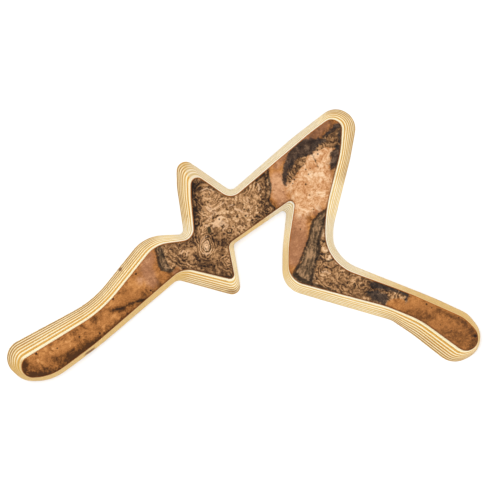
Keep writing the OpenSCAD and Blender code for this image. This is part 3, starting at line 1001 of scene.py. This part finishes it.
def walnutMaterial(name):
    material, tree, shader, place = startMaterial(name)
    level = walnut["level"]

    def layer(label):
        return addNode(tree, "ShaderNodeAttribute", attribute_name=label).outputs["Fac"]

    def ragged(label, torn, reach, low, high):
        return mapped(plus(layer(label), around(torn, reach)), low, high)

    drift = addNode(tree, "ShaderNodeTexNoise", {"Vector": place, "Scale": 0.07, "Detail": 3.0})
    shift = vectorCalc("SUBTRACT", drift.outputs["Color"], (0.5, 0.5, 0.5))
    flowing = vectorCalc("ADD", place, vectorCalc("SCALE", shift, walnut["drift"]))
    coarseTear = noised(place, 0.33, 4.0, 0.6)
    fineTear = noised(place, 0.9, 3.0, 0.6)
    lift = times(layer("lift"), mapped(coarseTear, 0.3, 0.7, 0.5, 1.5))

    # calm walnut: broad soft mottling, faint growth lines and open pores
    cloud = noised(flowing, 0.05, 5.0, 0.55)
    turn = {"Vector": flowing, "Rotation": (0, 0, math.radians(walnut["grainTurn"]))}
    turned = output(tree, "ShaderNodeMapping", turn)
    grain = fibresIn(turned, *walnut["grain"])
    pores = poresIn(turned, *walnut["pores"])
    coarseFlow = noised(flowing, 0.17, 4.0, 0.55, 0.5)
    patchy = noised(place, 0.09, 2.0)
    blotch = noised(flowing, 0.16, 5.0, 0.65)
    curl = noised(flowing, 0.42, 3.0, 0.6, 1.6)
    bands = times(calc("SINE", plus(times(layer("growth"), 1.6), around(cloud, 30.0))), 0.045)
    flame = calc("SINE", plus(times(layer("growth"), 3.1), around(cloud, 26.0), around(coarseTear, 5.0)))
    flamePart = times(flame, mapped(patchy, 0.4, 0.62, 0.0, 0.1))
    mottle = plus(around(cloud, 0.9), around(coarseFlow, 1.0), around(curl, 0.55), bands, flamePart)
    mottle = times(mottle, mapped(layer("even"), -6.0, 3.0, 1.0, 0.42))
    calm = plus(level["calm"], mottle, around(grain, 0.9), around(fineTear, 0.6), lift)
    colour = ramped(calm, walnut["calm"])
    rosy = plus(level["pink"], around(cloud, 0.9), around(grain, 0.7), around(coarseTear, 0.5))
    rosy = ramped(plus(rosy, around(fineTear, 0.6), flamePart, lift), walnut["pink"])
    colour = blended(times(ragged("pink", coarseTear, 6.0, -3.5, 3.0), 0.85), colour, rosy)

    # pale bird's-eye wood
    ripple = noised(flowing, 0.3, 4.0, 0.6, 0.6)
    pale = plus(level["pale"], around(ripple, 2.3), around(blotch, 1.1), around(curl, 0.9))
    pale = ramped(plus(pale, around(cloud, 1.1), around(fineTear, 0.5), lift), walnut["pale"])
    paleShare = ragged("pale", blotch, 13.0, -5.5, 3.5)
    colour = blended(paleShare, colour, pale)
    freckles = times(poresIn(flowing, *walnut["freckles"]), mapped(patchy, 0.42, 0.6))
    colour = blended(times(freckles, paleShare, 0.6), colour, walnut["freckle"])

    # burl: growth lines that swirl round the eyes, and clusters of dark specks
    swirling = plus(layer("growth"), around(noised(place, 0.11, 4.0, 0.55), 13.0), around(coarseTear, 2.2))
    swirlPart = times(calc("SINE", times(swirling, 2.3)), mapped(patchy, 0.35, 0.65, 0.12, 0.25))
    specks = poresIn(flowing, *walnut["specks"])
    small = poresIn(place, *walnut["smallSpecks"])
    warp = noised(place, 0.13, 3.0, 0.55)
    ringWave = calc("SINE", plus(times(layer("ringFar"), 2.5), around(coarseTear, 6.5), around(warp, 15.0)))
    ringPart = times(ringWave, layer("ringNear"), 0.26)
    quiet = minus(1.0, times(layer("ringNear"), 0.6))
    rough = times(plus(around(blotch, 0.85), around(curl, 0.5), around(fineTear, 0.35), swirlPart), quiet)
    value = minus(plus(level["burl"], rough, ringPart, lift), times(specks, 0.3))
    value = minus(value, times(small, 0.22))
    colour = blended(ragged("burl", coarseTear, 3.4, -0.9, 0.9), colour, ramped(value, walnut["burl"]))

    # olive-brown bands, streaked along their length
    streak = fibresIn(place, *walnut["streaks"])
    along = calc("SINE", plus(times(layer("olive"), 1.9), around(warp, 14.0), around(coarseTear, 5.0)))
    olive = plus(level["olive"], times(along, 0.16), around(streak, 1.8), around(curl, 1.3))
    olive = ramped(plus(olive, around(blotch, 1.8), lift), walnut["olive"])
    colour = blended(ragged("olive", coarseTear, 9.0, -1.0, 1.0), colour, olive)

    # charcoal patches
    charcoal = plus(level["charcoal"], around(coarseFlow, 1.9), around(blotch, 1.7), around(curl, 1.7))
    share = times(ragged("charcoal", coarseTear, 5.5, -1.2, 1.2), 0.94)
    colour = blended(share, colour, ramped(charcoal, walnut["charcoal"]))

    # drawn lines, knots and the dark edge: the leaf's own dark edge and warm line run all round, with painted
    # shade and painted light by how each edge faces the light
    bright = times(ragged("lightLines", fineTear, 2.2, -0.5, 0.5), mapped(curl, 0.38, 0.55, 0.35, 0.85))
    colour = blended(bright, colour, walnut["bright"])
    dark = mapped(plus(layer("darkLines"), around(fineTear, 2.4), around(coarseTear, 3.0)), -0.6, 0.7)
    colour = blended(times(dark, 0.82), colour, walnut["line"])
    colour = blended(ragged("olivespot", fineTear, 1.2, -0.6, 0.6), colour, walnut["spot"])
    colour = blended(times(ragged("knots", fineTear, 0.9, -0.45, 0.35), 0.9), colour, walnut["knot"])
    colour = blended(times(pores, 0.16), colour, walnut["knot"])
    # painted shade: the dark edge is strongest and widest on the edges that face away from the light; in the
    # burl it is dark all round
    darkEdgeAndShade = mapped(calc("MAXIMUM", layer("shadowFacing"), mapped(layer("burl"), -1.0, 1.0, 0.0, 0.9)), -0.3, 0.6)
    darkEdgeAndShade = times(darkEdgeAndShade, mapped(layer("pale"), -3.0, 1.0, 1.0, 0.2))
    reach = mapped(darkEdgeAndShade, 0.0, 1.0, 1.0, 2.2)
    edge = mapped(plus(layer("edge"), around(coarseTear, 1.0)), reach, 0.1, 0.0, 0.85)
    colour = blended(times(edge, mapped(darkEdgeAndShade, 0.0, 1.0, 0.45, 1.0)), colour, walnut["edge"])
    # painted light: the warm orange line at the very edge runs all round, and is made stronger on the edges
    # that face the light
    warmLineAndLight = times(mapped(layer("edge"), 0.95, 0.5), mapped(layer("shadowFacing"), 0.5, -0.4, 0.5, 0.95))
    link(shader.inputs["Base Color"], blended(warmLineAndLight, colour, walnut["warmEdge"]))
    dull = mapped(layer("edge"), 1.1, 0.5, 0.0, 0.4)
    cloudy = addLacquer(shader, place, walnut, mapped(layer("edge"), 0.5, 1.1, 0.0, 0.35), dull)
    addBump(shader, minus(plus(cloudy, times(grain, 0.3)), times(pores, 0.8)), *walnut["bump"])
    return material


# making the pieces

finishes = {
    "long": birchMaterial("birchLongGrain", birch["long"]),
    "cross": birchMaterial("birchCrossGrain", birch["cross"]),
    "glue": filmMaterial("resinGlue"),
    "burl": walnutMaterial("walnutBurl"),
}
print("finishes built")

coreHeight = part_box("birch_ply_13")[1][2]
sheets = sheetTree()
for number in range(1, lay["plies"] + 1):
    grain = "long" if number % 2 else "cross"
    ply = shapedSheet("ply_%02d_%s_grain" % (number, grain), sheets, "birch_ply_%02d" % number,
                      lay["plyRings"], finishes[grain])
    glue = shapedSheet("film_line_%02d" % number, sheets, "glue_film_%02d" % number,
                       lay["filmRings"], finishes["glue"])
print("plies and films shaped")

burlFace = addObject("burl_face", burlMesh("burl_face"))
paintFigure(burlFace.data)
burlFace.data.materials.append(finishes["burl"])
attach(burlFace, "root")
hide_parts("burl_veneer")
print("burl face made:", len(burlFace.data.polygons), "faces")


# studio

studio = {
    "floorSize": 3.0,
    "floorDrop": 0.0002,
    "floorColours": ((0.92, 0.92, 0.92, 1.0), (0.9, 0.9, 0.9, 1.0)),
    "worldStrength": 1.76,
    "horizonStrength": 0.95,
    "overheadStrength": 0.06,
    "lights": [  # name, place, size, energy
        ("keyLight", (-0.9, 0.7, 1.1), 1.0, 5.0),
        ("fillLight", (0.9, -0.6, 1.0), 1.2, 4.0),
    ],
    "farClip": 20.0,
    "lens": 100.0,
    "sensor": 36.0,
    "aim": (0.0059, -0.0045, 0.004),
    "frameWidth": 0.4636,
}


def floorMaterial():
    material, tree, shader, place = startMaterial("paperFloor")
    mottle = noised(place, 0.02, 3.0)
    colour = blended(mapped(mottle, 0.3, 0.7, 0.0, 0.5), *studio["floorColours"])
    link(shader.inputs["Base Color"], colour)
    link(shader.inputs["Roughness"], mapped(mottle, 0.0, 1.0, 0.75, 0.95))
    return material


def addFloor():
    mesh = bpy.data.meshes.new("floor")
    half = studio["floorSize"] / 2
    level = cadBox[0][2] - studio["floorDrop"]
    corners = [(-half, -half), (half, -half), (half, half), (-half, half)]
    mesh.from_pydata([(x, y, level) for x, y in corners], [], [(0, 1, 2, 3)])
    mesh.materials.append(floorMaterial())
    addObject("floor", mesh)


def addLight(name, place, size, energy):
    light = bpy.data.lights.new(name, "AREA")
    light.energy = energy
    light.size = size
    lamp = addObject(name, light)
    lamp.location = place
    lamp.rotation_euler = (-Vector(place)).to_track_quat("-Z", "Y").to_euler()


def addWorld():
    world = bpy.data.worlds.new("studio")
    world.use_nodes = True
    sky = world.node_tree
    upward = partsOf(addNode(sky, "ShaderNodeTexCoord").outputs["Generated"])[2]
    ring = mapped(upward, 0.25, 0.5, studio["horizonStrength"], studio["worldStrength"])
    lid = mapped(upward, 0.9, 0.72)  # dark straight above, so that no sheen veils the wood
    background = sky.nodes["Background"].inputs
    link(background["Strength"], plus(times(ring, lid), studio["overheadStrength"]))
    background["Color"].default_value = (1, 1, 1, 1)
    bpy.context.scene.world = world


def addCamera():
    data = bpy.data.cameras.new("camera")
    data.lens = studio["lens"]
    data.sensor_width = studio["sensor"]
    data.clip_end = studio["farClip"]
    camera = addObject("camera", data)
    away = studio["frameWidth"] * studio["lens"] / studio["sensor"]
    camera.location = Vector(studio["aim"]) + Vector((0, 0, away))
    bpy.context.scene.camera = camera


addFloor()
for light in studio["lights"]:
    addLight(*light)
addWorld()
bpy.context.scene.view_settings.view_transform = "Standard"
addCamera()
print("studio set")
